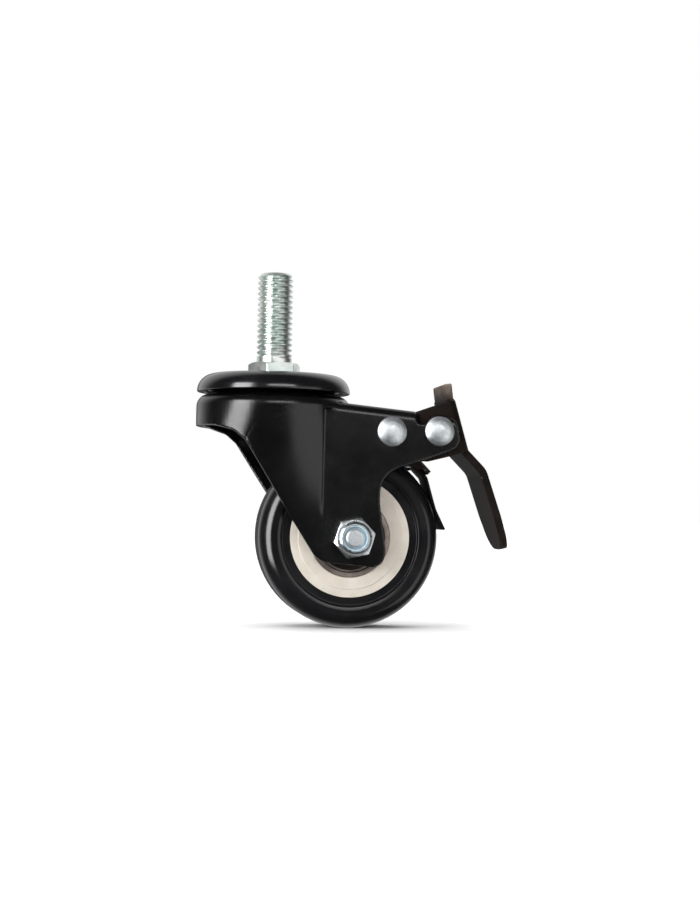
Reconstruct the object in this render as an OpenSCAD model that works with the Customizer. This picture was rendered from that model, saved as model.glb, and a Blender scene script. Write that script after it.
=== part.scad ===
// Swivel caster with a threaded stem, a ball-bearing wheel and a foot brake.
// Origin: stem axis on the top face of the hexagonal collar. +Z up, +X to the wheel, millimetres.
// The stem, the standard bearings and the bolt set the scale, so sizes are real ones.

/* [Stem] */
// thread crest diameter
stem_d = 9.8; // [9.7:0.05:10]
// stem length above the collar
stem_len = 25; // [15:1:40]
// thread pitch
pitch = 1.5; // [1.25:0.25:1.5]
// plain neck under the thread
neck_h = 1.6; // [1:0.1:4]
// collar width across flats
collar_af = 13; // [12.5:0.1:14]
// collar height
collar_h = 3.4; // [3:0.1:3.6]
// turn of the collar about the stem
collar_turn = 10; // [0:1:59]

/* [Swivel head] */
// outer diameter of the top cap
cap_d = 42.6; // [41:0.2:44]
// height of the top cap
cap_h = 5; // [4.8:0.1:5.2]
// outer diameter of the fork's round head
head_d = 42.8; // [42:0.2:44]
// depth of the head below the collar's top
head_top = 9.1; // [9.05:0.05:9.15]
// number of balls in each swivel ring
swivel_balls = 18; // [12:1:18]

/* [Fork] */
// width over the cheeks
fork_w = 30; // [30:0.5:32]
// sheet thickness
sheet = 2; // [1.8:0.1:2.2]
// offset of the axle from the stem
trail = 21; // [20:0.1:21.2]
// depth of the axle below the collar's top
axle_drop = 48; // [47.9:0.1:49]

/* [Wheel] */
// diameter over the tread
wheel_d = 50; // [48:0.5:50]
// tread width
wheel_w = 20; // [19.6:0.2:21]
// hub diameter at the face
hub_d = 33; // [32:0.5:34]
// balls in each wheel bearing
bearing_balls = 7; // [6:1:7]

/* [Fastenings] */
// axle bolt diameter
bolt_d = 6; // [5.5:0.1:6]
// bolt and nut width across flats
bolt_af = 10; // [9:0.5:11]
// rivet head diameter
rivet_head_d = 8.2; // [7.5:0.1:8.6]
// rivet shank diameter
rivet_d = 5; // [4.5:0.1:5.2]

/* [Brake] */
// pedal sheet thickness
pedal_t = 2.1; // [1.8:0.1:2.2]
// width of the pedal's handle
handle_w = 19; // [16:0.5:20]
// width of the release tab
tab_w = 17; // [14:0.5:19]
// width of the brake shoe
shoe_w = 15; // [13:0.5:16]
// width of the spring strap
strap_w = 10.5; // [8:0.5:12]
// strap thickness
strap_t = 0.7; // [0.5:0.1:0.8]

/* [Hidden] */

black_paint = [0.06, 0.06, 0.065];
zinc = [0.78, 0.82, 0.84];
steel = [0.7, 0.71, 0.72];
dark_steel = [0.45, 0.38, 0.34];
cream = [0.88, 0.84, 0.78];
nylon = [0.9, 0.92, 0.95];

slip = 0.05;        // radial clearance of a turning or pushed fit
eps = 0.01;         // depth a cutter reaches past a face
arc_bite = 0.0005;  // growth of a corner's arc, so that it crosses its two edges cleanly
arc_lap = 0.05;     // reach of the arc past its tangent points, for a radius of 1
arc_base = 0.03;    // depth of the arc's piece under its chord
round_fn = 96;
small_fn = 48;

// stem
stem_r = stem_d / 2;
thread_depth = 0.8;
crest_flat = 0.3;
collar_r = collar_af / 2;
tip_chamfer = 0.9;
shank_r = 6;        // kingpin through the head
pin_r = 4.3;        // reduced end through the lower cup
peen_r = 8;
peen_h = 1.8;

// swivel head
cap_r = cap_d / 2;
cap_t = 2;
cap_top = -collar_h;
cap_shoulder = 4.7;
head_r = head_d / 2;
head_shoulder = 3.4;
head_hole_r = 8;
race_rim_h = 1.5;   // raised rim round the upper balls
ball_r = 1.98;
groove_r = 2.05;
swivel_pitch_r = 12.5;
upper_ball_z = (cap_top - cap_t - head_top) / 2;
lower_ball_z = -head_top - sheet - 1.7;
cup_top = lower_ball_z - 1.7;
cup_r = 16.4;
cup_rim_h = 2.2;

// fork
cheek = fork_w / 2;
cheek_in = cheek - sheet;
crease_x = 12.3;    // upright crease between the bulged and the flat part of a cheek
crease_wall = 1.5;  // wall across the crease's step
neck_z = -43;       // where the round head has narrowed to the cheeks
skirt_z = -12.6;    // where the narrowing starts
arm_slope = 5.4;    // fall of the arm's top, degrees
arm_start = [20, -11.4];
bend_r = 2.6;

// axle
axle = [trail, 0, -axle_drop];
bolt_r = bolt_d / 2;
head_h = 4;
nut_h = 4.4;
nut_collar_r = 4.5;
nut_total = 5.9;
bolt_end = 5.5;     // bolt beyond the cheek on the nut's side

// wheel bearing, 8 x 22 x 7
bore_r = 4;
race_out_r = 11;
race_w = 7;
bearing_face = 9.5;
bearing_mid = bearing_face - race_w / 2;
bearing_pitch_r = 7.6;
inner_land_r = 6.1;
outer_land_r = 9;
shield_seat_r = 9.7;
shield_seat_d = 0.45;
shield_t = 0.3;
cage_half = 0.55;
cage_near_y = 1.2;
cage_far_y = 2.4;

// wheel
wheel_r = wheel_d / 2;
tread_half = wheel_w / 2;
hub_r = hub_d / 2;
hub_face = 9.4;
rib_r = hub_r + 1;
rib_half = 3;
crown_r = 5;

// brake
shoe_pivot = [31.3, -18.9];
pedal_pivot = [44.5, -18.5];
rivet_r = rivet_d / 2;
rivet_head_r = rivet_head_d / 2;
rivet_head_h = 1.7;
shoe_half = shoe_w / 2;
shoe_t = 1.5;
strap_half = strap_w / 2;
ear_out = 12.7;
ear_in = ear_out - pedal_t;
web_tilt = 16.2;    // lean of the pedal's back, degrees
toe_in = 4.8;
strap_rivet_y = 2.5;
strap_rivet_at = 5.6;
strap_rivet_r = 1.2;

// ---------- helpers ----------

function unit(v) = v / norm(v);
function half_angle(a, b, c) = acos(unit(a - b) * unit(c - b)) / 2;
function tangent(a, b, c, r, to) = b + unit(to - b) * r / tan(half_angle(a, b, c));
function arc_centre(a, b, c, r) =
    b + unit(unit(a - b) + unit(c - b)) * r / sin(half_angle(a, b, c));
function turn(a, b, c) = (b[0] - a[0]) * (c[1] - b[1]) - (b[1] - a[1]) * (c[0] - b[0]);

// Counter-clockwise outline; each corner is [x, y, radius].
module rounded(corners) {
    n = len(corners);
    function at(i) = [corners[(i + n) % n][0], corners[(i + n) % n][1]];
    function rad(i) = corners[i][2];
    function bends(i) = turn(at(i - 1), at(i), at(i + 1));
    function touch(i, k) = tangent(at(i - 1), at(i), at(i + 1), rad(i), at(i + k));
    module arc(i) {
        side = unit(touch(i, 1) - touch(i, -1));
        out = unit(at(i) - (touch(i, -1) + touch(i, 1)) / 2);
        lap = arc_lap * sqrt(rad(i));
        intersection() {
            translate(arc_centre(at(i - 1), at(i), at(i + 1), rad(i)))
                circle(r = rad(i) + arc_bite, $fn = small_fn);
            polygon([for (c = [[-1, -1], [1, -1], [1, 1], [-1, 1]])
                touch(i, c[0]) + c[0] * lap * side + (c[1] < 0 ? -arc_base : 2 * rad(i)) * out]);
        }
    }
    difference() {
        union() {
            polygon([for (i = [0:n - 1], k = [-1, 1]) if (rad(i) > 0 || k < 0)
                rad(i) <= 0 ? at(i) : touch(i, k)]);
            for (i = [0:n - 1]) if (rad(i) > 0 && bends(i) > 0) arc(i);
        }
        for (i = [0:n - 1]) if (rad(i) > 0 && bends(i) < 0) arc(i);
    }
}

// Offset of path corner i to its left (s = 1) or right (s = -1) by d.
function left_of(v) = [-v[1], v[0]];
function corner_shift(p, i, d) =
    let (n = len(p), q = [p[i][0], p[i][1]],
        u = i > 0 ? unit(q - [p[i - 1][0], p[i - 1][1]]) : undef,
        v = i < n - 1 ? unit([p[i + 1][0], p[i + 1][1]] - q) : undef,
        a = is_undef(u) ? v : u, b = is_undef(v) ? u : v,
        m = unit(left_of(a) + left_of(b)))
    q + m * d / (m * left_of(a));
function bend_side(p, i) = i == 0 || i == len(p) - 1 ? 0
    : sign(turn(p[i - 1], p[i], p[i + 1]));

// Sheet of thickness t along a centre line of [x, y, inside bend radius] corners.
module bent_sheet(path, t) {
    n = len(path);
    function r(i, s) = bend_side(path, i) == 0 ? 0 : path[i][2] + (bend_side(path, i) == s ? 0 : t);
    rounded(concat(
        [for (i = [0:n - 1]) concat(corner_shift(path, i, -t / 2), [r(i, -1)])],
        [for (i = [n - 1:-1:0]) concat(corner_shift(path, i, t / 2), [r(i, 1)])]));
}

// Side outline drawn in X and Z, filled from y0 to y1.
module side_plate(y0, y1) translate([0, y1, 0]) rotate([90, 0, 0]) linear_extrude(y1 - y0) children();
module both_sides() for (s = [0, 1]) mirror([0, s, 0]) children();
// Profile drawn as [radius, y], turned about the axle.
module about_axle() translate(axle) rotate([-90, 0, 0]) rotate_extrude($fn = round_fn) children();
module pin_y(p, r, y0, y1) translate([p[0], y0, p[1]]) rotate([-90, 0, 0])
    cylinder(r = r, h = y1 - y0, $fn = small_fn);
module ball_ring(n, ring_r, z) for (i = [0:n - 1]) rotate(i * 360 / n) translate([ring_r, 0, z])
    sphere(r = ball_r, $fn = small_fn);
module torus_groove(ring_r, z) rotate_extrude($fn = round_fn) translate([ring_r, z])
    circle(r = groove_r, $fn = small_fn);

// ---------- swivel head ----------

module threaded_stem() color(zinc) {
    threads = floor((stem_len - neck_h - tip_chamfer) / pitch);
    flank = (pitch - 2 * crest_flat) / 2;
    root = stem_r - thread_depth;
    profile = concat(
        [[0, -collar_h - eps], [stem_r, -collar_h - eps], [stem_r, neck_h]],
        [for (i = [0:threads - 1], k = [0:3]) let (z = neck_h + i * pitch)
            k == 0 ? [root, z + flank] : k == 1 ? [root, z + flank + crest_flat]
            : k == 2 ? [stem_r, z + 2 * flank + crest_flat] : [stem_r, z + pitch]],
        [[root, stem_len], [0, stem_len]]);
    rotate_extrude($fn = round_fn) polygon(profile);
    rotate(collar_turn) translate([0, 0, -collar_h]) intersection() {
        cylinder(r = collar_r / cos(30), h = collar_h, $fn = 6);
        rotate_extrude($fn = round_fn) polygon([[0, 0], [collar_r + 2, 0], [collar_r + 2, collar_h - 1.4],
            [collar_r - 0.1, collar_h], [0, collar_h]]);
    }
    rotate_extrude($fn = round_fn) rounded([[0, cup_top - sheet - peen_h, 0],
        [peen_r, cup_top - sheet - peen_h, peen_h - 0.3], [peen_r, cup_top - sheet, 0],
        [pin_r, cup_top - sheet, 0], [pin_r, cup_top, 0], [shank_r, cup_top, 0],
        [shank_r, -collar_h + eps, 0], [0, -collar_h + eps, 0]]);
}

module top_cap() color(black_paint) difference() {
    rotate_extrude($fn = round_fn) rounded([[shank_r + slip, cap_top - cap_t, 0],
        [cap_r - cap_t, cap_top - cap_t, cap_shoulder - cap_t], [cap_r - cap_t, cap_top - cap_h, 0],
        [cap_r, cap_top - cap_h, 0.2], [cap_r, cap_top, cap_shoulder], [shank_r + slip, cap_top, 0]]);
    torus_groove(swivel_pitch_r, upper_ball_z);
}

module lower_race_cup() color(zinc) difference() {
    rotate_extrude($fn = round_fn) rounded([[pin_r + slip, cup_top - sheet, 0],
        [cup_r, cup_top - sheet, 2.5], [cup_r, cup_top + cup_rim_h, 0],
        [cup_r - 1.5, cup_top + cup_rim_h, 0], [cup_r - 1.5, cup_top, 0.8],
        [pin_r + slip, cup_top, 0]]);
    torus_groove(swivel_pitch_r, lower_ball_z);
}

module upper_swivel_balls() color(steel) ball_ring(swivel_balls, swivel_pitch_r, upper_ball_z);
module lower_swivel_balls() color(steel) ball_ring(swivel_balls, swivel_pitch_r, lower_ball_z);

// ---------- fork ----------

arm_top_end = arm_start + 18.1 * [1, -tan(arm_slope)];

// Fork seen from the side, open at the top where the head and the arm end it.
module fork_outline() rounded([
    [-head_r - 1, -18, 0], [-17, -18.2, 0], [-12, -19.6, 2], [-9, -22.1, 0],
    [trail - 9.4, -axle_drop - 6.6, 6], [trail + 8.6, -axle_drop - 8.2, 3.5],
    [trail + 9.2, -axle_drop - 3.5, 6], [trail + 7.4, -38.5, 8], [trail + 7.4, -30.5, 7.5],
    [pedal_pivot[0] + 6.2, pedal_pivot[1] - 4.2, 3.4], [pedal_pivot[0] + 4.5, pedal_pivot[1] + 5, 4],
    [pedal_pivot[0] - 2, pedal_pivot[1] + 4.2, 2], [arm_top_end[0] + 2, arm_top_end[1] - 3.8, 1],
    [arm_top_end[0], arm_top_end[1] - 3.2, 0.8], [arm_top_end[0], 0, 0], [-head_r - 1, 0, 0]]);

// Upright section through the head's narrowing side, moved in from the outer face by d.
function narrowing(d) = [[head_r - d, 0], [head_r - d, skirt_z], [cheek - d, neck_z], [cheek - d, -70]];
module across(x0, x1) translate([x0, 0, 0]) rotate([90, 0, 90]) linear_extrude(x1 - x0) children();
function mirrored(p) = [for (i = [len(p) - 1:-1:0]) [-p[i][0], p[i][1]]];

module fork_head() difference() {
    rotate_extrude($fn = round_fn) rounded([[head_hole_r, -head_top - sheet, 0],
        [head_r - sheet, -head_top - sheet, head_shoulder - sheet],
        [head_r - sheet, skirt_z - 0.4, 0], [head_r, skirt_z - 0.4, 0],
        [head_r, -head_top, head_shoulder],
        [swivel_pitch_r + 5, -head_top, 0.3], [swivel_pitch_r + 4.6, -head_top + race_rim_h, 0.6],
        [swivel_pitch_r + 2.9, -head_top + race_rim_h, 0.6], [swivel_pitch_r + 2.6, -head_top, 0.3],
        [head_hole_r, -head_top, 0]]);
    torus_groove(swivel_pitch_r, upper_ball_z);
    torus_groove(swivel_pitch_r, lower_ball_z);
}

// Front of the head and the cheeks below it: a solid envelope with the inside taken out.
module fork_front() difference() {
    intersection() {
        across(-head_r - 1, crease_x) polygon(concat(narrowing(0), mirrored(narrowing(0))));
        translate([0, 0, -70]) cylinder(r = head_r, h = 70 + skirt_z, $fn = round_fn);
        side_plate(-head_r - 1, head_r + 1) fork_outline();
    }
    intersection() {
        across(-head_r - 1, crease_x - crease_wall)
            polygon(concat(narrowing(sheet), mirrored(narrowing(sheet))));
        translate([0, 0, -71]) cylinder(r = head_r - sheet, h = 72, $fn = round_fn);
    }
    translate([0, -cheek_in, -72]) cube([crease_x + 1, 2 * cheek_in, 73]);
}

module on_arm() translate([arm_start[0], 0, arm_start[1]]) rotate([0, arm_slope, 0]) across(-20, 40)
    children();
module fork_rear() difference() {
    intersection() {
        on_arm() rounded([[-cheek, -60, 0], [cheek, -60, 0], [cheek, 0, bend_r], [-cheek, 0, bend_r]]);
        translate([crease_x, -cheek - 1, -70]) cube([60, 2 * cheek + 2, 70]);
        side_plate(-cheek - 1, cheek + 1) fork_outline();
    }
    on_arm() rounded([[-cheek_in, -62, 0], [cheek_in, -62, 0], [cheek_in, -sheet, bend_r - sheet],
        [-cheek_in, -sheet, bend_r - sheet]]);
    translate([arm_top_end[0] + 2, -cheek_in - slip, -30]) cube([30, 2 * (cheek_in + slip), 30]);
}

module fork() color(black_paint) difference() {
    union() {
        fork_head();
        fork_front();
        difference() {
            fork_rear();
            translate([0, 0, skirt_z - 0.3]) cylinder(r = head_r - 1, h = 20, $fn = round_fn);
            translate([0, 0, -16]) cylinder(r = cup_r + 1.1, h = 20, $fn = round_fn);
        }
    }
    pin_y([trail, -axle_drop], bolt_r + slip, -cheek - 1, cheek + 1);
    for (p = [shoe_pivot, pedal_pivot]) pin_y(p, rivet_r + slip, -cheek - 1, cheek + 1);
}

// ---------- axle ----------

module hex_y(af, y0, y1, turned, chamfer_r) translate([axle[0], 0, axle[2]]) rotate([-90, 0, 0])
    intersection() {
        rotate(turned) translate([0, 0, y0]) cylinder(r = af / 2 / cos(30), h = y1 - y0, $fn = 6);
        children();
    }
module chamfer_profile(af, y0, y1) rotate_extrude($fn = round_fn) polygon([[0, y0], [af / 2 - 0.1, y0],
    [af / 2 + 1, y0 + 0.7], [af / 2 + 1, y1], [0, y1]]);

module axle_bolt() color(zinc) {
    pin_y([trail, -axle_drop], bolt_r, -cheek - bolt_end, cheek + 1);
    mirror([0, 1, 0]) hex_y(bolt_af, -cheek - head_h, -cheek, 10)
        chamfer_profile(bolt_af, -cheek - head_h, -cheek);
}
module axle_nut() color(zinc) difference() {
    union() {
        hex_y(bolt_af, -cheek - nut_h, -cheek, 12.5) chamfer_profile(bolt_af, -cheek - nut_h, -cheek);
        about_axle() rounded([[0, -cheek - nut_total, 0], [nut_collar_r, -cheek - nut_total, 0.7],
            [nut_collar_r, -cheek - nut_h + 1, 0], [0, -cheek - nut_h + 1, 0]]);
    }
    pin_y([trail, -axle_drop], bolt_r + slip, -cheek - nut_total - 1, -cheek + 1);
    pin_y([trail, -axle_drop], bolt_r + 0.9, -cheek - nut_total + 0.4, -cheek - nut_h + 0.4);
}
module nut_insert() color(nylon) about_axle() translate([bolt_r + slip, -cheek - nut_total + 0.45])
    square([0.8, nut_total - nut_h - 0.1]);
module axle_sleeve() color(steel) about_axle() translate([bolt_r + slip, -cheek_in])
    square([bore_r - bolt_r - 2 * slip + 0.03, 2 * cheek_in]);
module axle_spacers() color(steel) about_axle() for (s = [-1, 1])
    translate([bore_r + slip, s > 0 ? bearing_face : -cheek_in]) square([1.9, cheek_in - bearing_face]);

// ---------- wheel bearings ----------

module bearing_groove() translate([bearing_pitch_r, -bearing_mid]) circle(r = groove_r, $fn = small_fn);
module inner_ring() about_axle() difference() {
    translate([bore_r + 0.03, -bearing_face]) square([inner_land_r - bore_r - 0.03, race_w]);
    bearing_groove();
}
module outer_ring() about_axle() difference() {
    rounded([[outer_land_r, -bearing_face + shield_seat_d, 0],
        [shield_seat_r, -bearing_face + shield_seat_d, 0], [shield_seat_r, -bearing_face, 0.15],
        [race_out_r, -bearing_face, 0.3], [race_out_r, race_w - bearing_face, 0.3],
        [shield_seat_r, race_w - bearing_face, 0.15],
        [shield_seat_r, race_w - bearing_face - shield_seat_d, 0],
        [outer_land_r, race_w - bearing_face - shield_seat_d, 0]]);
    bearing_groove();
}
module shields() about_axle() for (y = [-bearing_face + shield_seat_d - shield_t - 0.02,
    race_w - bearing_face - shield_seat_d + 0.02])
    translate([inner_land_r + 0.25, y]) square([shield_seat_r - inner_land_r - 0.3, shield_t]);
module ball_set() translate(axle) rotate([-90, 0, 0])
    ball_ring(bearing_balls, bearing_pitch_r, -bearing_mid);
module cage() difference() {
    about_axle() translate([bearing_pitch_r - cage_half, -bearing_mid + cage_near_y])
        square([2 * cage_half, cage_far_y - cage_near_y]);
    translate(axle) rotate([-90, 0, 0]) for (i = [0:bearing_balls - 1])
        rotate(i * 360 / bearing_balls) translate([bearing_pitch_r, 0, -bearing_mid])
            sphere(r = ball_r + slip, $fn = small_fn);
}
module far_side() mirror([0, 1, 0]) children();

module bearing_inner_ring_near() color(steel) inner_ring();
module bearing_inner_ring_far() color(steel) far_side() inner_ring();
module bearing_outer_ring_near() color(dark_steel) outer_ring();
module bearing_outer_ring_far() color(dark_steel) far_side() outer_ring();
module bearing_balls_near() color(steel) ball_set();
module bearing_balls_far() color(steel) far_side() ball_set();
module bearing_cage_near() color(dark_steel) cage();
module bearing_cage_far() color(dark_steel) far_side() cage();
module bearing_shields_near() color(dark_steel) shields();
module bearing_shields_far() color(dark_steel) far_side() shields();

// ---------- wheel ----------

module hub() color(cream) about_axle() rounded([
    [8.5, race_w - bearing_face, 0], [race_out_r, race_w - bearing_face, 0],
    [race_out_r, -hub_face - 0.2, 0.3], [14.3, -hub_face - 0.2, 0], [14.5, -hub_face, 0],
    [hub_r, -hub_face, 0], [hub_r, -rib_half, 0], [rib_r, -rib_half, 0],
    [rib_r, rib_half, 0], [hub_r, rib_half, 0], [hub_r, hub_face, 0],
    [14.5, hub_face, 0], [14.3, hub_face + 0.2, 0], [race_out_r, hub_face + 0.2, 0.3],
    [race_out_r, bearing_face - race_w, 0], [8.5, bearing_face - race_w, 0]]);

module tread() color(black_paint) about_axle() rounded([
    [hub_r, -rib_half, 0], [hub_r, -hub_face + 0.3, 0], [hub_r + 2.2, -hub_face + 0.3, 0.6],
    [hub_r + 3, -tread_half, 0.8], [wheel_r, -tread_half, crown_r],
    [wheel_r, tread_half, crown_r], [hub_r + 3, tread_half, 0.8],
    [hub_r + 2.2, hub_face - 0.3, 0.6], [hub_r, hub_face - 0.3, 0], [hub_r, rib_half, 0],
    [rib_r, rib_half, 0], [rib_r, -rib_half, 0]]);

// ---------- brake ----------

module rivet(p) color(zinc) {
    pin_y(p, rivet_r, -cheek - 0.5, cheek + 0.5);
    both_sides() translate([p[0], cheek, p[1]]) rotate([-90, 0, 0]) rotate_extrude($fn = small_fn)
        intersection() {
            square([rivet_head_r, rivet_head_h]);
            translate([0, rivet_head_h - 6.4]) circle(r = 6.4, $fn = round_fn);
        }
}
module shoe_rivet() rivet(shoe_pivot);
module pedal_rivet() rivet(pedal_pivot);
module shoe_spacers() color(steel) both_sides() difference() {
    pin_y(shoe_pivot, 4, shoe_half + 0.1, cheek_in);
    pin_y(shoe_pivot, rivet_r + slip, shoe_half, cheek_in + 1);
}

shoe_top = [35.2, -21.7];
shoe_tip = [43.2, -29.9];
module shoe_bracket() color(black_paint) difference() {
    union() {
        side_plate(-shoe_half, shoe_half) bent_sheet([shoe_top, shoe_tip], shoe_t);
        both_sides() side_plate(shoe_half - shoe_t, shoe_half) rounded([
            [27, -23.4, 4.1], [31.5, -23.6, 3], [39.3, -29.0, 0.4], [42, -28.67, 0],
            [35.6, -22.11, 0], [35.7, -14.95, 3.9], [27, -14.95, 3.9]]);
    }
    pin_y(shoe_pivot, rivet_r + slip, -shoe_half - 1, shoe_half + 1);
    strap_holes();
}
shoe_dir = unit(shoe_tip - shoe_top);
shoe_angle = atan2(-shoe_dir[1], shoe_dir[0]);
module on_shoe(along, y) translate([shoe_top[0] + shoe_dir[0] * along, y, shoe_top[1] + shoe_dir[1] * along])
    rotate([0, shoe_angle, 0]) children();
module strap_holes() for (y = [-strap_rivet_y, strap_rivet_y]) on_shoe(strap_rivet_at, y)
    cylinder(r = strap_rivet_r + slip, h = 8, center = true, $fn = small_fn);

strap_back = (shoe_t + strap_t) / 2;
strap_from = shoe_top + 3 * shoe_dir - strap_back * left_of(shoe_dir);
strap_turn = shoe_tip + 0.6 * shoe_dir - strap_back * left_of(shoe_dir);
module brake_strap() color(black_paint) difference() {
    side_plate(-strap_half, strap_half) bent_sheet([
        [strap_from[0], strap_from[1], 0], [strap_turn[0], strap_turn[1], 1.2],
        [44.1, -35.5, 14], [45.5, -40.2, 12], [48.2, -45.5, 0]], strap_t);
    strap_holes();
}
module strap_rivets() color(zinc) for (y = [-strap_rivet_y, strap_rivet_y]) on_shoe(strap_rivet_at, y) {
    translate([0, 0, -shoe_t / 2 - strap_t - 0.5])
        cylinder(r = strap_rivet_r, h = shoe_t + strap_t + 1, $fn = small_fn);
    translate([0, 0, shoe_t / 2]) cylinder(r1 = 1.9, r2 = 1.4, h = 0.7, $fn = small_fn);
    translate([0, 0, -shoe_t / 2 - strap_t - 0.7]) cylinder(r1 = 1.4, r2 = 1.9, h = 0.7, $fn = small_fn);
}

// Back of the pedal: release tab, web, bend and handle, as a centre line from the top.
pedal_path = [[47.9, -4.8, 0], [48.5, -9.4, 6], [52.6, -23.5, 3], [58.1, -29.1, 4], [65.4, -50.6, 0]];
module pedal_front() rounded([[-7.5, -50.9, 6.8], [7.5, -50.9, 6.8], [handle_w / 2, -42, 8],
    [handle_w / 2, -9, 0], [tab_w / 2, -9, 0], [tab_w / 2, -4, 1.2],
    [-tab_w / 2, -4, 1.2], [-tab_w / 2, -9, 0], [-handle_w / 2, -9, 0], [-handle_w / 2, -42, 8]]);
module pedal_ears() intersection() {
    translate([pedal_path[1][0], 0, pedal_path[1][1]]) rotate([0, -web_tilt, 0])
        translate([0, 0, -22]) linear_extrude(30) difference() {
            rounded([[-16, -ear_out, 0], [pedal_t / 2, -ear_out, 2.8], [pedal_t / 2, ear_out, 2.8],
                [-16, ear_out, 0]]);
            rounded([[-17, -ear_in, 0], [-pedal_t / 2, -ear_in, 0.7], [-pedal_t / 2, ear_in, 0.7],
                [-17, ear_in, 0]]);
        }
    side_plate(-ear_out - 1, ear_out + 1) rounded([[40.7, -27.1, 1.2], [54.6, -23.5, 0],
        [50.6, -9.2, 0.5], [47.6, -9.9, 0], [38.8, -13.1, 1]]);
}
module brake_pedal() color(black_paint) difference() {
    union() {
        intersection() {
            side_plate(-ear_in, ear_in) bent_sheet(pedal_path, pedal_t);
            across(40, 75) pedal_front();
        }
        pedal_ears();
        both_sides() side_plate(toe_in, ear_in + eps) rounded([[41.1, -26.77, 1], [43.2, -26.4, 0.8],
            [42.7, -23, 0.5], [40.6, -23.2, 0.5]]);
    }
    pin_y(pedal_pivot, rivet_r + slip, -ear_out - 1, ear_out + 1);
}

// ---------- output ----------

threaded_stem();
top_cap();
lower_race_cup();
upper_swivel_balls();
lower_swivel_balls();
fork();
axle_bolt();
axle_nut();
nut_insert();
axle_sleeve();
axle_spacers();
bearing_inner_ring_near();
bearing_inner_ring_far();
bearing_outer_ring_near();
bearing_outer_ring_far();
bearing_balls_near();
bearing_balls_far();
bearing_cage_near();
bearing_cage_far();
bearing_shields_near();
bearing_shields_far();
hub();
tread();
shoe_rivet();
pedal_rivet();
shoe_spacers();
shoe_bracket();
brake_strap();
strap_rivets();
brake_pedal();
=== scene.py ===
import math

import bmesh
import bpy
from mathutils import Matrix, Vector


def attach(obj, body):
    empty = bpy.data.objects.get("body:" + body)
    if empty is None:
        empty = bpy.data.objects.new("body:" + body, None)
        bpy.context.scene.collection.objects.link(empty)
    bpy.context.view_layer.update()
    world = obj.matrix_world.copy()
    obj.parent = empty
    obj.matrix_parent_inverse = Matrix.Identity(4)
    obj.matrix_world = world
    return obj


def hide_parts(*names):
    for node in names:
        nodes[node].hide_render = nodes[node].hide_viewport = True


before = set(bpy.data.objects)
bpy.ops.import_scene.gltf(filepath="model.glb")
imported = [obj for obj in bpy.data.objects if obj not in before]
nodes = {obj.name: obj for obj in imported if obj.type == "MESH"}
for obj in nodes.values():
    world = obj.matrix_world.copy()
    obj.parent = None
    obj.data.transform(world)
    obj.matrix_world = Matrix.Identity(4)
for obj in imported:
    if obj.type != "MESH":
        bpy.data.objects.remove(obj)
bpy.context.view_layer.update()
scene = bpy.context.scene

MM = 0.001      # sizes below are in mm, unless a comment says metres


# ---------- camera ----------

VIEW_AZIMUTH, VIEW_ELEVATION, VIEW_ROLL = -7.97, -1.996, 1.13   # degrees
VIEW_DISTANCE = 455.36
VIEW_TARGET = (21.876, 0, -23.67)
LENS, SENSOR = 64.84, 36
CLIP_NEAR, CLIP_FAR = 0.01, 20      # metres


def direction(azimuth, elevation):
    """Unit vector away from the object; azimuth 0 is on the lock nut's side and grows towards +X."""
    a, e = math.radians(azimuth), math.radians(elevation)
    return Vector((math.sin(a) * math.cos(e), -math.cos(a) * math.cos(e), math.sin(e)))


def make_camera():
    roll = math.radians(VIEW_ROLL)
    back = direction(VIEW_AZIMUTH, VIEW_ELEVATION)
    level = Vector((0, 0, 1)).cross(back).normalized()
    upright = back.cross(level)
    right = level * math.cos(roll) + upright * math.sin(roll)
    up = upright * math.cos(roll) - level * math.sin(roll)
    data = bpy.data.cameras.new("camera")
    data.lens, data.sensor_width = LENS, SENSOR
    data.clip_start, data.clip_end = CLIP_NEAR, CLIP_FAR
    cam = bpy.data.objects.new("camera", data)
    scene.collection.objects.link(cam)
    place_at = (Vector(VIEW_TARGET) + back * VIEW_DISTANCE) * MM
    cam.matrix_world = Matrix.Translation(place_at) @ Matrix((right, up, back)).transposed().to_4x4()
    scene.camera = cam


make_camera()


# ---------- materials ----------

class Nodes:
    """Short ways to add and join the nodes of one node tree."""

    def __init__(self, tree):
        self.tree = tree

    def add(self, kind, **props):
        node = self.tree.nodes.new(kind)
        for name, value in props.items():
            setattr(node, name, value)
        return node

    def put(self, socket, value):
        """Links socket to another node's output, or sets it to a number, a vector or a colour."""
        if isinstance(value, bpy.types.NodeSocket):
            self.tree.links.new(value, socket)
        elif socket.type == "RGBA":
            socket.default_value = (*value, 1)
        else:
            socket.default_value = value

    def span(self, fac, lo, hi, a=0.3, b=0.7, curve="LINEAR"):
        """fac from a to b as a value from lo to hi."""
        node = self.add("ShaderNodeMapRange", interpolation_type=curve)
        values = {"From Min": a, "From Max": b, "To Min": lo, "To Max": hi, "Value": fac}
        for name, value in values.items():
            self.put(node.inputs[name], value)
        return node.outputs["Result"]

    def math(self, op, a, b=0.0):
        node = self.add("ShaderNodeMath", operation=op)
        self.put(node.inputs[0], a)
        self.put(node.inputs[1], b)
        return node.outputs[0]


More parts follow.
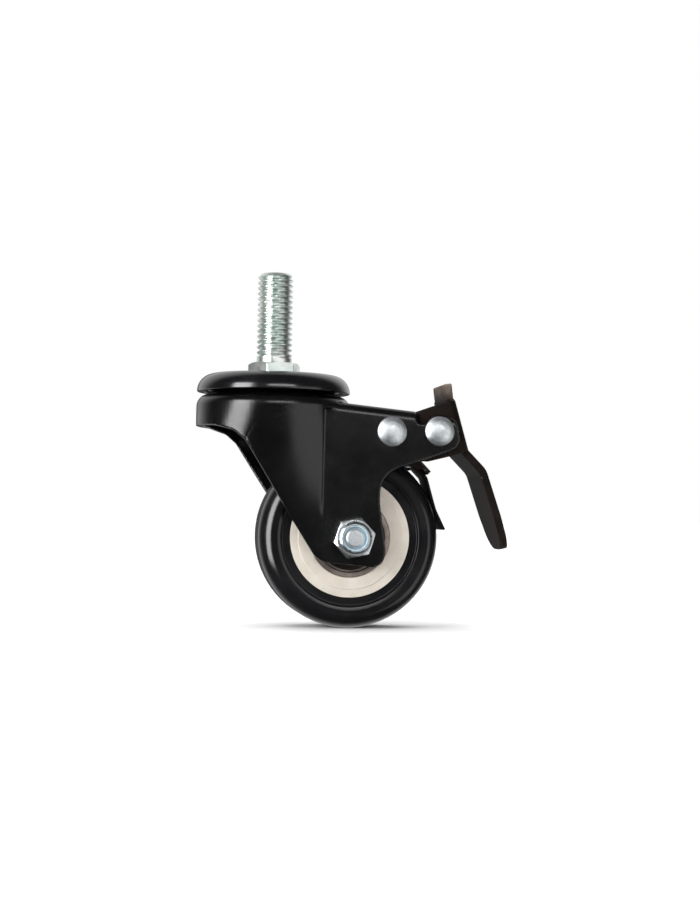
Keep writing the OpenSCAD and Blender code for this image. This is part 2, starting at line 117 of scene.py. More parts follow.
class Surface(Nodes):
    """A material with one Principled shader, patterned in the object's own space."""

    def __init__(self, name):
        self.material = bpy.data.materials.new(name)
        self.material.use_nodes = True
        super().__init__(self.material.node_tree)
        self.tree.nodes.clear()
        self.shader = self.add("ShaderNodeBsdfPrincipled")
        self.put(self.add("ShaderNodeOutputMaterial").inputs[0], self.shader.outputs[0])
        self.coord = self.add("ShaderNodeTexCoord").outputs["Object"]

    def noise(self, size, detail=3.0, rough=0.55, stretch=None, distortion=0.0):
        """Noise whose blobs are about size mm across."""
        vector = self.coord
        if stretch:
            mapping = self.add("ShaderNodeMapping")
            self.put(mapping.inputs["Scale"], stretch)
            self.put(mapping.inputs["Vector"], vector)
            vector = mapping.outputs[0]
        node = self.add("ShaderNodeTexNoise")
        values = {"Scale": 1 / (size * MM), "Detail": detail, "Roughness": rough, "Distortion": distortion,
                  "Vector": vector}
        for name, value in values.items():
            self.put(node.inputs[name], value)
        return node.outputs["Fac"]

    def mix(self, fac, a, b):
        node = self.add("ShaderNodeMix", data_type="RGBA")
        factor, first, second = (node.inputs[i] for i in (0, 6, 7))
        self.put(factor, fac)
        self.put(first, a)
        self.put(second, b)
        return node.outputs[2]

    def edge(self, lo, hi):
        """0 on flat surfaces, up to 1 on convex edges."""
        return self.span(self.add("ShaderNodeNewGeometry").outputs["Pointiness"], 0, 1, lo, hi)

    def bump(self, height, strength, depth, under=None):
        node = self.add("ShaderNodeBump")
        self.put(node.inputs["Strength"], strength)
        self.put(node.inputs["Distance"], depth * MM)
        self.put(node.inputs["Height"], height)
        if under is not None:
            self.put(node.inputs["Normal"], under)
        return node.outputs["Normal"]

    def radius(self, centre):
        """Distance in mm from the line along Y through centre."""
        offset = self.add("ShaderNodeVectorMath", operation="SUBTRACT")
        self.put(offset.inputs[0], self.coord)
        self.put(offset.inputs[1], [c * MM for c in centre])
        flat = self.add("ShaderNodeVectorMath", operation="MULTIPLY")
        self.put(flat.inputs[0], offset.outputs[0])
        self.put(flat.inputs[1], (1, 0, 1))
        length = self.add("ShaderNodeVectorMath", operation="LENGTH")
        self.put(length.inputs[0], flat.outputs[0])
        return self.math("MULTIPLY", length.outputs["Value"], 1 / MM)

    def finish(self, color, rough, normal=None, **constants):
        self.put(self.shader.inputs["Base Color"], color)
        self.put(self.shader.inputs["Roughness"], rough)
        if normal is not None:
            self.put(self.shader.inputs["Normal"], normal)
        for name, value in constants.items():
            self.put(self.shader.inputs[name.replace("_", " ")], value)
        return self.material


AXLE = (21, 0, -48)
PEDAL_TAB = (49.5, 0, -2)
GLOW_FROM, GLOW_TO = 2, 8           # distances from the tab over which its painted glow of light fades out
CLOUD, HAZE, CHIP, GLOW_PATCH, PINHOLE = 9, 0.7, 1.6, 2.2, 0.25        # sizes of the paint's patterns, and of the patches of painted light by the tab
SCRATCH = 0.22                          # size of the metal's fine scratches
HUB_RINGS, TYRE_RINGS = 13.0, 5.5       # turning lines, in radians per mm of radius


def painted(name, deep, pale, worn_and_glow, rough, peel_size, peel, wear, coat=0.0, gloss=0.5, glow_at=None):
    """Paint on pressed steel: cloudy gloss, orange peel, paler edges chipped through wear, and a painted glow
    of light in patches around one place.
    """
    s = Surface(name)
    cloud = s.noise(CLOUD, 4)
    haze = s.noise(HAZE, 3)
    color = s.mix(s.span(cloud, 0, 1, 0.35, 0.7), deep, pale)
    chips = s.math("MULTIPLY", s.edge(0.6, 0.72), s.span(s.noise(CHIP, 4), 0.15, 1, 0.4, 0.62))
    color = s.mix(s.math("MULTIPLY", chips, wear), color, worn_and_glow)
    if glow_at:
        # Painted light: near that place the colour is lifted to the wear colour in patches, a painted glow
        # standing for light on the pedal's tab.
        near = s.span(s.radius(glow_at), 1, 0, GLOW_FROM, GLOW_TO)
        color = s.mix(s.math("MULTIPLY", near, s.span(s.noise(GLOW_PATCH, 4), 0.2, 1)), color, worn_and_glow)
    gloss_map = s.math("ADD", s.span(cloud, rough - 0.03, rough + 0.04), s.span(haze, -0.015, 0.025))
    normal = s.bump(s.noise(peel_size, 2), peel, 0.05)
    normal = s.bump(s.noise(PINHOLE, 2), peel * 0.35, 0.02, normal)
    return s.finish(color, gloss_map, normal, Coat_Weight=coat, Coat_Roughness=0.12,
                    Specular_IOR_Level=gloss)


def plated(name, tint_a, tint_b, dull, rough, grain, bump, stretch=None):
    """Zinc or bare steel: crystalline mottling, a faint tint and fine scratches; rough is (least, most)."""
    s = Surface(name)
    blotch = s.noise(grain, 5, 0.65, distortion=0.6)
    tint = s.noise(grain * 3.1, 3)
    scratch = s.noise(SCRATCH, 4, 0.7, stretch)
    color = s.mix(s.span(tint, 0, 1, 0.38, 0.64), tint_a, tint_b)
    color = s.mix(s.span(blotch, 0, 0.55, 0.48, 0.72), color, dull)
    gloss_map = s.math("ADD", s.span(blotch, *rough, 0.35, 0.68), s.span(scratch, -0.04, 0.06))
    normal = s.bump(scratch, bump, 0.02)
    normal = s.bump(s.noise(grain * 0.8, 3), bump * 0.9, 0.05, normal)
    return s.finish(color, gloss_map, normal, Metallic=1.0)


def make_cream_plastic():
    s = Surface("cream_hub_plastic")
    rings = s.math("SINE", s.math("MULTIPLY", s.radius(AXLE), HUB_RINGS))
    cloud = s.noise(5, 4)
    scuff = s.noise(0.9, 5, 0.7)
    color = s.mix(s.span(cloud, 0, 1, 0.35, 0.68), (0.53, 0.48, 0.415), (0.60, 0.55, 0.485))
    color = s.mix(s.span(scuff, 0, 0.4, 0.56, 0.75), color, (0.44, 0.385, 0.325))
    gloss_map = s.math("ADD", s.span(cloud, 0.36, 0.5), s.span(scuff, -0.03, 0.06))
    normal = s.bump(s.noise(0.35, 3), 0.12, 0.03, s.bump(rings, 0.12, 0.02))
    return s.finish(color, gloss_map, normal, Subsurface_Weight=0.12, Subsurface_Scale=0.001)


def make_tyre_rubber():
    s = Surface("black_polyurethane")
    rings = s.math("SINE", s.math("MULTIPLY", s.radius(AXLE), TYRE_RINGS))
    cloud = s.noise(7, 4)
    dust = s.noise(0.5, 4, 0.7)
    color = s.mix(s.span(cloud, 0, 1, 0.35, 0.7), (0.004, 0.004, 0.0048), (0.0075, 0.0075, 0.0085))
    color = s.mix(s.span(dust, 0, 0.02, 0.62, 0.8), color, (0.06, 0.058, 0.055))
    gloss_map = s.math("ADD", s.span(cloud, 0.18, 0.24), s.span(dust, -0.005, 0.01))
    normal = s.bump(s.noise(1.4, 3), 0.05, 0.04, s.bump(rings, 0.05, 0.02))
    return s.finish(color, gloss_map, normal)


def make_nylon():
    s = Surface("pale_nylon")
    cloud = s.noise(1.2, 4)
    color = s.mix(s.span(cloud, 0, 1, 0.35, 0.7), (0.30, 0.42, 0.50), (0.45, 0.56, 0.62))
    normal = s.bump(s.noise(0.3, 3), 0.15, 0.03)
    return s.finish(color, s.span(cloud, 0.3, 0.45), normal, Subsurface_Weight=0.1, Subsurface_Scale=0.0008)


mats = {
    "black_paint": painted(
        "black_powder_coat", (0.0012, 0.0012, 0.0014), (0.0028, 0.0028, 0.003), (0.03, 0.03, 0.032),
        rough=0.23, peel_size=1.1, peel=0.06, wear=0.4),
    "cap_paint": painted(
        "black_gloss_paint", (0.003, 0.003, 0.0035), (0.006, 0.006, 0.007), (0.03, 0.03, 0.032),
        rough=0.2, peel_size=1.6, peel=0.08, wear=0.35, coat=0.3),
    # Its tab carries a painted glow of light, lighter brown in patches.
    "brake_paint": painted(
        "thin_brown_black_paint", (0.005, 0.0036, 0.003), (0.014, 0.010, 0.008), (0.27, 0.215, 0.18),
        rough=0.5, peel_size=0.8, peel=0.16, wear=0.9, gloss=0.05, glow_at=PEDAL_TAB),
    "seal": painted(
        "dark_seal", (0.006, 0.0055, 0.005), (0.016, 0.014, 0.013), (0.05, 0.045, 0.04),
        rough=0.2, peel_size=0.9, peel=0.05, wear=0.3),
    "zinc": plated(
        "bright_zinc", (0.66, 0.71, 0.74), (0.86, 0.89, 0.89), (0.42, 0.50, 0.54),
        rough=(0.24, 0.36), grain=1.1, bump=0.08),
    "dull_zinc": plated(
        "dull_zinc", (0.62, 0.67, 0.69), (0.82, 0.85, 0.86), (0.4, 0.46, 0.5),
        rough=(0.42, 0.54), grain=1.6, bump=0.3),
    "stem_zinc": plated(
        "thread_zinc", (0.70, 0.78, 0.75), (0.90, 0.92, 0.88), (0.50, 0.57, 0.54),
        rough=(0.28, 0.4), grain=2.5, bump=0.04, stretch=(1, 1, 2)),
    "steel": plated(
        "ground_steel", (0.55, 0.55, 0.56), (0.68, 0.68, 0.69), (0.4, 0.4, 0.41),
        rough=(0.18, 0.34), grain=0.8, bump=0.15),
    "bearing_steel": plated(
        "dark_ring_steel", (0.34, 0.28, 0.245), (0.48, 0.41, 0.37), (0.2, 0.165, 0.145),
        rough=(0.34, 0.48), grain=0.8, bump=0.12),
    "cream_plastic": make_cream_plastic(),
    "tyre": make_tyre_rubber(),
    "nylon": make_nylon(),
}


# ---------- mesh helpers ----------

SMOOTH_ANGLE = 32       # edges sharper than this many degrees stay crisp
MERGE = 1e-7            # metres


def add_piece(name, mesh, material, body, node):
    """A finished piece that rides on a body and stands for a CAD node."""
    o = bpy.data.objects.new(name, mesh)
    scene.collection.objects.link(o)
    mesh.materials.clear()
    mesh.materials.append(mats[material])
    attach(o, body)
    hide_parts(node)


def shade(mesh, angle=SMOOTH_ANGLE):
    for p in mesh.polygons:
        p.use_smooth = True
    mesh.set_sharp_from_angle(angle=math.radians(angle))


def fillet(corners, step=7):
    """(x, y, radius) corners as points, with each corner rounded by an arc of chords of step degrees."""
    points = []
    for i, (x, y, radius) in enumerate(corners):
        corner = Vector((x, y))
        before = Vector(corners[i - 1][:2])
        after = Vector(corners[(i + 1) % len(corners)][:2])
        u, v = (before - corner).normalized(), (after - corner).normalized()
        half = u.angle(v) / 2
        if radius <= 0 or math.degrees(half) > 89.5:
            points.append(corner)
            continue
        reach = radius / math.tan(half)
        centre = corner + (u + v).normalized() * radius / math.sin(half)
        start, end = corner + u * reach - centre, corner + v * reach - centre
        turn = start.angle_signed(end)
        chords = max(2, math.ceil(abs(math.degrees(turn)) / step))
        for k in range(chords + 1):
            w = turn * k / chords
            points.append(centre + Vector((start.x * math.cos(w) + start.y * math.sin(w),
                                           start.y * math.cos(w) - start.x * math.sin(w))))
    return points


def both_ends(half):
    """The corners of half an outline and of its mirror image in height 0."""
    return half + [(r, -h, fillet_r) for r, h, fillet_r in half[::-1]]


def place(x, y, h, axis, centre):
    """A point at height h along the axis, Y or Z, in metres."""
    point = (x, y, h) if axis == "Z" else (x, h, -y)
    return [(p + c) * MM for p, c in zip(point, centre)]


def lathe(bm, profile, axis="Z", centre=(0, 0, 0), segments=128, uneven=None):
    """Turns a closed (radius, height) outline about an axis; points on the axis become poles."""
    rings = []
    for r, h in profile:
        if r < 1e-6:
            rings.append([bm.verts.new(place(0, 0, h, axis, centre))])
            continue
        ring = []
        for k in range(segments):
            a = 2 * math.pi * k / segments
            ra = uneven(r, a) if uneven else r
            ring.append(bm.verts.new(place(ra * math.cos(a), ra * math.sin(a), h, axis, centre)))
        rings.append(ring)
    for a, b in zip(rings, rings[1:] + rings[:1]):
        if len(a) == 1 and len(b) == 1:
            continue
        for k in range(segments):
            j = (k + 1) % segments
            if len(a) == 1:
                bm.faces.new((a[0], b[j], b[k]))
            elif len(b) == 1:
                bm.faces.new((a[k], a[j], b[0]))
            else:
                bm.faces.new((a[k], a[j], b[j], b[k]))


def prism(bm, across_flats, h0, h1, turn, axis="Z", centre=(0, 0, 0), corner=0.2):
    """Hexagonal bar with slightly rounded long edges."""
    r = across_flats / 2 / math.cos(math.pi / 6)
    angles = [math.radians(turn + 60 * k) for k in range(6)]
    points = fillet([(r * math.cos(a), r * math.sin(a), corner) for a in angles], step=15)
    low, high = ([bm.verts.new(place(p.x, p.y, h, axis, centre)) for p in points] for h in (h0, h1))
    for k in range(len(points)):
        j = (k + 1) % len(points)
        bm.faces.new((low[k], low[j], high[j], high[k]))
    bm.faces.new(low[::-1])
    bm.faces.new(high)


def mend(bm, mesh):
    """Merges double points, turns the faces outwards and writes the result to mesh."""
    bmesh.ops.remove_doubles(bm, verts=bm.verts, dist=MERGE)
    bmesh.ops.recalc_face_normals(bm, faces=bm.faces)
    bm.to_mesh(mesh)
    bm.free()
    return mesh


def built(name, draw):
    """A closed mesh from what draw adds to an empty bmesh."""
    bm = bmesh.new()
    draw(bm)
    return mend(bm, bpy.data.meshes.new(name))


def turned_mesh(name, corners, axis="Z", centre=(0, 0, 0), segments=128, uneven=None):
    return built(name, lambda bm: lathe(bm, fillet(corners), axis, centre, segments, uneven))


def with_modifiers(mesh, name, steps):
    """The mesh after a list of (type, settings) modifiers; a mesh called other is the modifier's object."""
    o = bpy.data.objects.new(name + "_work", mesh)
    scene.collection.objects.link(o)
    helpers = []
    for kind, settings in steps:
        modifier = o.modifiers.new(kind, kind)
        for key, value in settings.items():
            if key == "other":
                helper = bpy.data.objects.new(name + "_tool", value)
                scene.collection.objects.link(helper)
                helpers.append(helper)
                modifier.object = helper
            else:
                setattr(modifier, key, value)
    done = bpy.data.meshes.new_from_object(o.evaluated_get(bpy.context.evaluated_depsgraph_get()))
    done.name = name
    for h in [o, *helpers]:
        bpy.data.objects.remove(h)
    return done


def cut(op, mesh):
    return ("BOOLEAN", {"operation": op, "solver": "EXACT", "other": mesh})


def turned(name, corners, material, body, node, axis="Z", centre=(0, 0, 0), segments=128, uneven=None):
    mesh = turned_mesh(name, corners, axis, centre, segments, uneven)
    shade(mesh)
    add_piece(name, mesh, material, body, node)


def pressed(name, node, voxel, rounds, keep, material, body, shape=None):
    """A pressed-steel piece: the CAD solid resampled, its edges rolled over, then thinned out."""
    copy = nodes[node].data.copy()
    bm = bmesh.new()
    bm.from_mesh(copy)
    mend(bm, copy)
    copy.materials.clear()
    mesh = with_modifiers(copy, name, [
        ("REMESH", {"mode": "VOXEL", "voxel_size": voxel * MM, "adaptivity": 0.0}),
        ("SMOOTH", {"factor": 0.5, "iterations": rounds})])
    if shape:
        shape(mesh)
    mesh = with_modifiers(mesh, name, [("DECIMATE", {"ratio": keep})])
    for p in mesh.polygons:
        p.use_smooth = True
    add_piece(name, mesh, material, body, node)


# ---------- stem ----------

STEM_R, STEM_LEN, PITCH, NECK = 4.9, 25.0, 1.5, 1.6
THREAD_DEPTH, CREST, ROOT = 0.86, 0.28, 0.93     # ROOT is the share of a half pitch where the root starts
THREAD_START, TIP_CHAMFER = -1, 0.9
THREAD_ROWS, THREAD_COLS = 200, 96
COLLAR_AF, COLLAR_H, COLLAR_TURN = 13, 3.4, 10   # across flats, height, degrees
COLLAR_TOP_R, COLLAR_CLEAR_R = 6.45, 8.4         # chamfer's inner edge, and past the corners
PIN_R, PIN_END_R, PEEN_R = 6, 4.3, 8             # kingpin, its end in the lower cup, its peened foot
PEEN_Z = -18.3
CUP_FLOOR, CUP_SEAT = -16.5, -14.5


def clamp(value):
    return min(1, max(0, value))


def thread_radius(z, a):
    """M10 x 1.5 right-hand thread with flat crests, fading out at the neck and the tip."""
    phase = (z / PITCH - a / (2 * math.pi)) % 1
    from_crest = abs(phase - 0.5) * 2
    crest = CREST / PITCH
    depth = clamp((from_crest - crest) / (ROOT - crest)) * clamp((z - NECK + 0.3) / 1.2)
    return min(STEM_R - THREAD_DEPTH * depth, STEM_R - max(0, z - STEM_LEN + TIP_CHAMFER))


def draw_thread(bm):
    grid = []
    for i in range(THREAD_ROWS + 1):
        z = THREAD_START + (STEM_LEN - THREAD_START) * i / THREAD_ROWS
        ring = []
        for k in range(THREAD_COLS):
            a = 2 * math.pi * k / THREAD_COLS
            r = thread_radius(z, a)
            ring.append(bm.verts.new(place(r * math.cos(a), r * math.sin(a), z, "Z", (0, 0, 0))))
        grid.append(ring)
    columns = [(k, (k + 1) % THREAD_COLS) for k in range(THREAD_COLS)]
    for lower, upper in zip(grid, grid[1:]):
        for k, j in columns:
            bm.faces.new((lower[k], lower[j], upper[j], upper[k]))
    for ring, h in ((grid[0], THREAD_START), (grid[-1], STEM_LEN)):
        middle = bm.verts.new(place(0, 0, h, "Z", (0, 0, 0)))
        for k, j in columns:
            bm.faces.new((ring[k], ring[j], middle))


def make_stem():
    bar = built("bar", lambda bm: prism(bm, COLLAR_AF, -COLLAR_H, 0, COLLAR_TURN, corner=0.3))
    cone = turned_mesh("cone", [
        (0, -COLLAR_H - 0.5, 0), (COLLAR_CLEAR_R, -COLLAR_H - 0.5, 0), (COLLAR_CLEAR_R, -1.35, 0),
        (COLLAR_TOP_R, -0.02, 0.4), (5.6, 0, 0), (0, 0, 0)], segments=96)
    collar = with_modifiers(bar, "collar", [cut("INTERSECT", cone)])
    kingpin = turned_mesh("kingpin", [
        (0, PEEN_Z, 0), (PEEN_R, PEEN_Z, 1.5), (PEEN_R, CUP_FLOOR, 0), (PIN_END_R, CUP_FLOOR, 0),
        (PIN_END_R, CUP_SEAT, 0), (PIN_R, CUP_SEAT, 0), (PIN_R, -COLLAR_H + 0.5, 0),
        (0, -COLLAR_H + 0.5, 0)], segments=96)
    mesh = with_modifiers(built("thread", draw_thread), "stem", [cut("UNION", collar), cut("UNION", kingpin)])
    shade(mesh, 40)
    add_piece("stem", mesh, "stem_zinc", "stem", "threaded_stem")


# ---------- swivel head ----------

CAP_R, CAP_T, CAP_RIM_Z, CAP_HOLE_R = 21.3, 2, -8.4, 6.05
CUP_R, CUP_WALL, CUP_RIM_Z = 16.4, 1.5, -12.3


def make_cap():
    top, under, inner = -COLLAR_H, -COLLAR_H - CAP_T, CAP_R - CAP_T
    turned("cap", [
        (CAP_HOLE_R, under, 0), (inner, under, 2.7), (inner, CAP_RIM_Z + 0.2, 0.2),
        (inner + 0.2, CAP_RIM_Z, 0.1), (CAP_R - 0.15, CAP_RIM_Z, 0.15), (CAP_R, CAP_RIM_Z + 0.2, 0.15),
        (CAP_R, top, 4.7), (CAP_HOLE_R, top, 0.25)], "cap_paint", "stem", "top_cap",
        segments=192)


def make_lower_cup():
    hole, inner = PIN_END_R + 0.05, CUP_R - CUP_WALL
    turned("lower_cup", [
        (hole, CUP_FLOOR, 0.2), (CUP_R, CUP_FLOOR, 2.5), (CUP_R, CUP_RIM_Z, 0.3), (inner, CUP_RIM_Z, 0.3),
        (inner, CUP_SEAT, 0.7), (hole, CUP_SEAT, 0.2)], "steel", "stem", "lower_race_cup")


# ---------- fork ----------

HEAD_R, CHEEK, CREASE_X = 21.4, 15.0, 12.3     # round head, flat cheeks, step between them
SKIRT_Z, NECK_Z = -12.6, -43.0                 # where the head starts to narrow, and where it is flat


def bell(mesh):
    """Draws the head's slanted planes in to one smooth bell, ruled from the round head to the cheeks."""
    for v in mesh.vertices:
        x, y, z = v.co / MM
        side = abs(y)
        if side <= CHEEK or x > CREASE_X + 0.9 or z > SKIRT_Z:
            continue
        circle = math.sqrt(max(0, HEAD_R ** 2 - min(x, CREASE_X) ** 2))
        if circle <= CHEEK + 0.1:
            continue
        t = min(1, (SKIRT_Z - z) / (SKIRT_Z - NECK_Z))
        plane = min(circle, HEAD_R - (HEAD_R - CHEEK) * t)
        if plane <= CHEEK + 0.02:
            continue
        ruled = circle - (circle - CHEEK) * t
        v.co.y = math.copysign(CHEEK + (side - CHEEK) * (ruled - CHEEK) / (plane - CHEEK), y) * MM


def make_fork():
    pressed("fork_frame", "fork", 0.3, 7, 0.35, "black_paint", "fork", bell)


# ---------- bolt, nut and rivets ----------

HEX_AF = 10                                    # bolt head and lock nut, across flats
BOLT_R, BOLT_END, BOLT_HEAD_H, BOLT_TURN = 3.0, -20.5, 4, 10
NUT_H, NUT_TOTAL, NUT_TURN = 4.4, 5.9, -12.5   # hexagon, with its collar, degrees
NUT_COLLAR_R, NUT_LIP_R, NUT_SEAT_R, NUT_BORE_R = 4.5, 3.55, 3.9, 3.05
INSERT_H = 1.35
RIVET_R, RIVET_DOME, RIVET_SHANK_R = 4.1, 1.7, 2.5
SHOE_PIVOT, PEDAL_PIVOT = (31.3, 0, -18.9), (44.5, 0, -18.5)


def chamfered_hex(name, h0, h1, turn, low_too):
    """Hexagon along Y whose high end, and low end too if asked, is turned down to a chamfer."""
    face_r, past_r, drop = HEX_AF / 2 - 0.15, HEX_AF / 2 + 1.2, 0.75
    bar = built(name, lambda bm: prism(bm, HEX_AF, h0, h1, turn, "Y", AXLE))
    low = [(0, h0, 0), (face_r, h0, 0.2), (past_r, h0 + drop, 0)] if low_too else [
        (0, h0 - 1, 0), (past_r, h0 - 1, 0)]
    high = [(past_r, h1 - drop, 0), (face_r, h1, 0.2), (0, h1, 0)]
    cone = turned_mesh(name + "_cone", low + high, "Y", AXLE, 96)
    return with_modifiers(bar, name, [cut("INTERSECT", cone)])


def make_bolt():
    shank = turned_mesh("shank", [
        (0, BOLT_END, 0), (BOLT_R - 0.9, BOLT_END, 0.2), (BOLT_R, BOLT_END + 0.7, 0.2),
        (BOLT_R, CHEEK + 1, 0), (0, CHEEK + 1, 0)], "Y", AXLE, 64)
    head = chamfered_hex("bolt_head", CHEEK, CHEEK + BOLT_HEAD_H, BOLT_TURN, low_too=False)
    mesh = with_modifiers(head, "bolt", [cut("UNION", shank)])
    shade(mesh)
    add_piece("bolt", mesh, "dull_zinc", "fork", "axle_bolt")


def make_nut():
    end, shoulder = -CHEEK - NUT_TOTAL, -CHEEK - NUT_H
    body = chamfered_hex("nut_body", shoulder, -CHEEK, NUT_TURN, low_too=True)
    collar = turned_mesh("nut_collar", [
        (0, end, 0), (NUT_COLLAR_R - 0.75, end, 0.25), (NUT_COLLAR_R, end + 0.55, 0.7),
        (NUT_COLLAR_R, shoulder + 0.6, 0), (0, shoulder + 0.6, 0)], "Y", AXLE, 96)
    bore = turned_mesh("nut_bore", [(r, h, 0) for r, h in (
        (0, end - 1), (NUT_LIP_R, end - 1), (NUT_LIP_R, end + 0.3), (NUT_SEAT_R, end + 0.4),
        (NUT_SEAT_R, shoulder + 0.4), (NUT_BORE_R, shoulder + 0.4), (NUT_BORE_R, -CHEEK + 0.5),
        (0, -CHEEK + 0.5))], "Y", AXLE, 64)
    mesh = with_modifiers(body, "nut", [cut("UNION", collar), cut("DIFFERENCE", bore)])
    shade(mesh)
    add_piece("lock_nut", mesh, "zinc", "fork", "axle_nut")


def make_insert():
    end, outer = -CHEEK - NUT_TOTAL + 0.45, NUT_SEAT_R - 0.05
    turned("nylon_ring", [
        (NUT_BORE_R, end, 0.15), (outer, end, 0.1), (outer, end + INSERT_H, 0),
        (NUT_BORE_R, end + INSERT_H, 0)], "nylon", "fork", "nut_insert", "Y", AXLE, 64)


def make_rivet(name, node, centre):
    def uneven(r, a):
        """The hammered rim is a little out of round, each rivet in its own direction."""
        if r <= 3.5:
            return r
        return r * (1 + 0.012 * math.sin(2 * a + centre[0]) + 0.006 * math.sin(5 * a))
    top = CHEEK + RIVET_DOME
    turned(name, both_ends([
        (0, top, 0), (1.6, top - 0.13, 2), (2.9, top - 0.55, 3), (RIVET_R - 0.12, CHEEK + 0.42, 0.4),
        (RIVET_R, CHEEK + 0.1, 0.12), (RIVET_R - 0.1, CHEEK, 0), (RIVET_SHANK_R, CHEEK, 0),
        (RIVET_SHANK_R, CHEEK - 1.5, 0)]), "dull_zinc", "fork", node, "Y", centre, 96, uneven)


# ---------- wheel and bearings ----------

RING_R, RING_LIP_R, RACE_R = 11, 9.7, 9        # bearing's outer ring
RING_OUT, RING_IN, SEAL_DEPTH = 9.5, 2.5, 0.45 # distances of its faces from the wheel's middle
SEAL_IN_R, SEAL_OUT_R = 6.35, 9.65
SEAL_BACK, SEAL_GROOVE, SEAL_RIDGE, SEAL_LIP = 8.77, 8.93, 9.07, 9.05
HUB_R, HUB_HALF, HUB_STEP_R = 16.5, 9.6, 14.2
RIB_R, RIB_HALF, STOP_R = 17.5, 3, 8.5         # rib that holds the tyre, ledge between the bearings
TREAD_R, TYRE_HALF = 25, 10


def make_bearing(side, sign):
    def on_side(corners):
        return [(r, sign * h, fillet_r) for r, h, fillet_r in corners]
    turned("outer_ring_" + side, on_side([
        (RACE_R, RING_OUT - SEAL_DEPTH, 0), (RING_LIP_R, RING_OUT - SEAL_DEPTH, 0),
        (RING_LIP_R, RING_OUT, 0.12), (RING_R, RING_OUT, 0.3), (RING_R, RING_IN, 0.3),
        (RING_LIP_R, RING_IN, 0.12), (RING_LIP_R, RING_IN + SEAL_DEPTH, 0),
        (RACE_R, RING_IN + SEAL_DEPTH, 0)]),
        "bearing_steel", "wheel", "bearing_outer_ring_" + side, "Y", AXLE)
    outer_seal = [
        (SEAL_IN_R, SEAL_BACK, 0), (SEAL_OUT_R, SEAL_BACK, 0), (SEAL_OUT_R, SEAL_RIDGE, 0.05),
        (9.45, SEAL_RIDGE, 0.05), (9.3, SEAL_GROOVE, 0.1), (8.9, SEAL_GROOVE, 0.1),
        (8.75, SEAL_RIDGE, 0.12), (8.3, SEAL_RIDGE, 0.12), (8.15, SEAL_GROOVE, 0.1),
        (7.1, SEAL_GROOVE, 0.1), (6.95, SEAL_LIP, 0.1), (6.6, SEAL_LIP, 0.1), (SEAL_IN_R, 8.95, 0.05)]
    inner_seal = [(SEAL_IN_R, 2.93, 0), (SEAL_OUT_R, 2.93, 0), (SEAL_OUT_R, 3.23, 0), (SEAL_IN_R, 3.23, 0)]
    mesh = built("shields_" + side, lambda bm: [
        lathe(bm, fillet(on_side(corners)), "Y", AXLE) for corners in (outer_seal, inner_seal)])
    shade(mesh)
    add_piece("shields_" + side, mesh, "seal", "wheel", "bearing_shields_" + side)


def make_hub():
    turned("wheel_hub", both_ends([
        (STOP_R, -RING_IN, 0), (RING_R, -RING_IN, 0), (RING_R, -HUB_HALF, 0.35),
        (HUB_STEP_R, -HUB_HALF, 0.1), (HUB_STEP_R + 0.25, -HUB_HALF + 0.2, 0.1),
        (HUB_R, -HUB_HALF + 0.2, 0.1), (HUB_R, -RIB_HALF, 0), (RIB_R, -RIB_HALF, 0)]),
        "cream_plastic", "wheel", "hub", "Y", AXLE, 192)


def make_tyre():
    turned("tyre", both_ends([
        (RIB_R, -RIB_HALF, 0), (HUB_R, -RIB_HALF, 0), (HUB_R, -9.1, 0.1), (18.6, -9.1, 0.3),
        (19.2, -9.63, 0.4), (21.4, -TYRE_HALF, 3), (TREAD_R, -TYRE_HALF, 5.0)]),
        "tyre", "wheel", "tread", "Y", AXLE, 256)


# ---------- brake ----------

def make_brake():
    pressed("pedal", "brake_pedal", 0.22, 6, 0.4, "brake_paint", "pedal")
    pressed("shoe_plate", "shoe_bracket", 0.2, 4, 0.4, "brake_paint", "shoe")
    pressed("spring_strap", "brake_strap", 0.13, 3, 0.35, "brake_paint", "shoe")


# ---------- carried-over CAD nodes ----------

CARRIED = {
    "steel": ["upper_swivel_balls", "lower_swivel_balls", "axle_sleeve", "axle_spacers", "shoe_spacers",
              "bearing_inner_ring_near", "bearing_inner_ring_far", "bearing_balls_near", "bearing_balls_far"],
    "bearing_steel": ["bearing_cage_near", "bearing_cage_far"],
    "zinc": ["strap_rivets"],
}


def paint_carried():
    for material, names in CARRIED.items():
        for name in names:
            slots = nodes[name].data.materials
            for i in range(len(slots)):
                slots[i] = mats[material]


make_stem()
make_cap()
make_lower_cup()
make_fork()
make_bolt()
make_nut()
make_insert()
make_rivet("rivet_front", "shoe_rivet", SHOE_PIVOT)
make_rivet("rivet_rear", "pedal_rivet", PEDAL_PIVOT)
make_bearing("near", -1)
make_bearing("far", 1)
make_hub()
make_tyre()
make_brake()
paint_carried()


# ---------- stage and light ----------

FLOOR_Z = -73.05
FLOOR_FRONT, FLOOR_REACH = -0.36, 4            # metres
LIGHT_TARGET, LIGHT_DISTANCE = (21, 0, -25), 650
FRONT_LEVEL, SWEEP_LEVEL = 0.05, 0.95          # brightness of the world in front and on the pale sweep


def make_stage():
    bm = bmesh.new()
    corners = [(-FLOOR_REACH, FLOOR_FRONT), (FLOOR_REACH, FLOOR_FRONT), (FLOOR_REACH, FLOOR_REACH),
               (-FLOOR_REACH, FLOOR_REACH)]
    bm.faces.new([bm.verts.new((x, y, FLOOR_Z * MM)) for x, y in corners])
    mesh = bpy.data.meshes.new("floor")
    bm.to_mesh(mesh)
    bm.free()
    s = Surface("pale_paper")
    color = s.mix(s.span(s.noise(30, 4), 0, 1), (0.9, 0.9, 0.9), (0.92, 0.92, 0.92))
    mesh.materials.append(s.finish(color, 0.9, Specular_IOR_Level=0.1))
    o = bpy.data.objects.new("floor", mesh)
    o.visible_glossy = False
    scene.collection.objects.link(o)


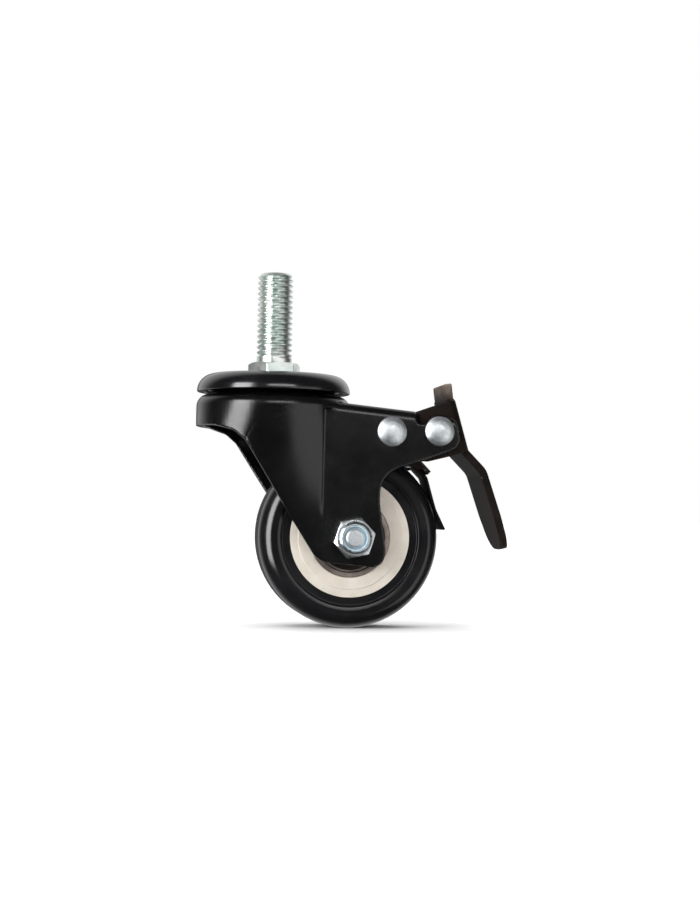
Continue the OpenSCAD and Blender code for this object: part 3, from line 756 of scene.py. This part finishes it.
def soft_box(name, azimuth, elevation, size, radiance):
    """A soft box facing the object; its size is in metres."""
    out = direction(azimuth, elevation)
    data = bpy.data.lights.new(name, "AREA")
    data.shape = "RECTANGLE"
    data.size, data.size_y = size
    data.energy = radiance * math.pi * size[0] * size[1]
    o = bpy.data.objects.new(name, data)
    o.location = (Vector(LIGHT_TARGET) + out * LIGHT_DISTANCE) * MM
    o.rotation_mode = "QUATERNION"
    o.rotation_quaternion = (-out).to_track_quat("-Z", "Y")
    o.visible_camera = False
    scene.collection.objects.link(o)


def make_lights():
    soft_box("left_softbox", -54, 4, (0.32, 0.6), 11)
    soft_box("right_softbox", 44, -14, (0.6, 0.7), 1.15)
    soft_box("front_strip", 5, 20, (0.45, 0.11), 6)
    data = bpy.data.lights.new("overhead", "SUN")
    data.energy, data.angle = 3.2, math.radians(70)
    sun = bpy.data.objects.new("overhead", data)
    sun.location = (0, 0, 1)
    sun.visible_camera = False
    sun.visible_glossy = False
    scene.collection.objects.link(sun)


def make_world():
    """White where the camera sees it; to the object, dark in front and behind, with a pale sweep between."""
    world = bpy.data.worlds.new("studio")
    world.use_nodes = True
    n = Nodes(world.node_tree)
    xyz = n.add("ShaderNodeSeparateXYZ")
    n.put(xyz.inputs[0], n.add("ShaderNodeTexCoord").outputs["Generated"])
    lean = n.math("MULTIPLY", n.math("ABSOLUTE", xyz.outputs["Z"]), 0.4)
    sweep = n.span(n.math("ADD", xyz.outputs["Y"], lean), FRONT_LEVEL, SWEEP_LEVEL, 0.4, 0.85, "SMOOTHSTEP")
    behind = n.span(xyz.outputs["Y"], 1.0, 0.1, 0.9, 0.98, "SMOOTHSTEP")
    level = n.add("ShaderNodeMix")
    n.put(level.inputs[0], n.add("ShaderNodeLightPath").outputs["Is Camera Ray"])
    n.put(level.inputs[2], n.math("MULTIPLY", sweep, behind))
    n.put(level.inputs[3], 1.0)
    background = world.node_tree.nodes["Background"]
    n.put(background.inputs[0], (1, 1, 1))
    n.put(background.inputs[1], level.outputs[0])
    scene.world = world
    scene.view_settings.view_transform = "Standard"


make_stage()
make_lights()
make_world()
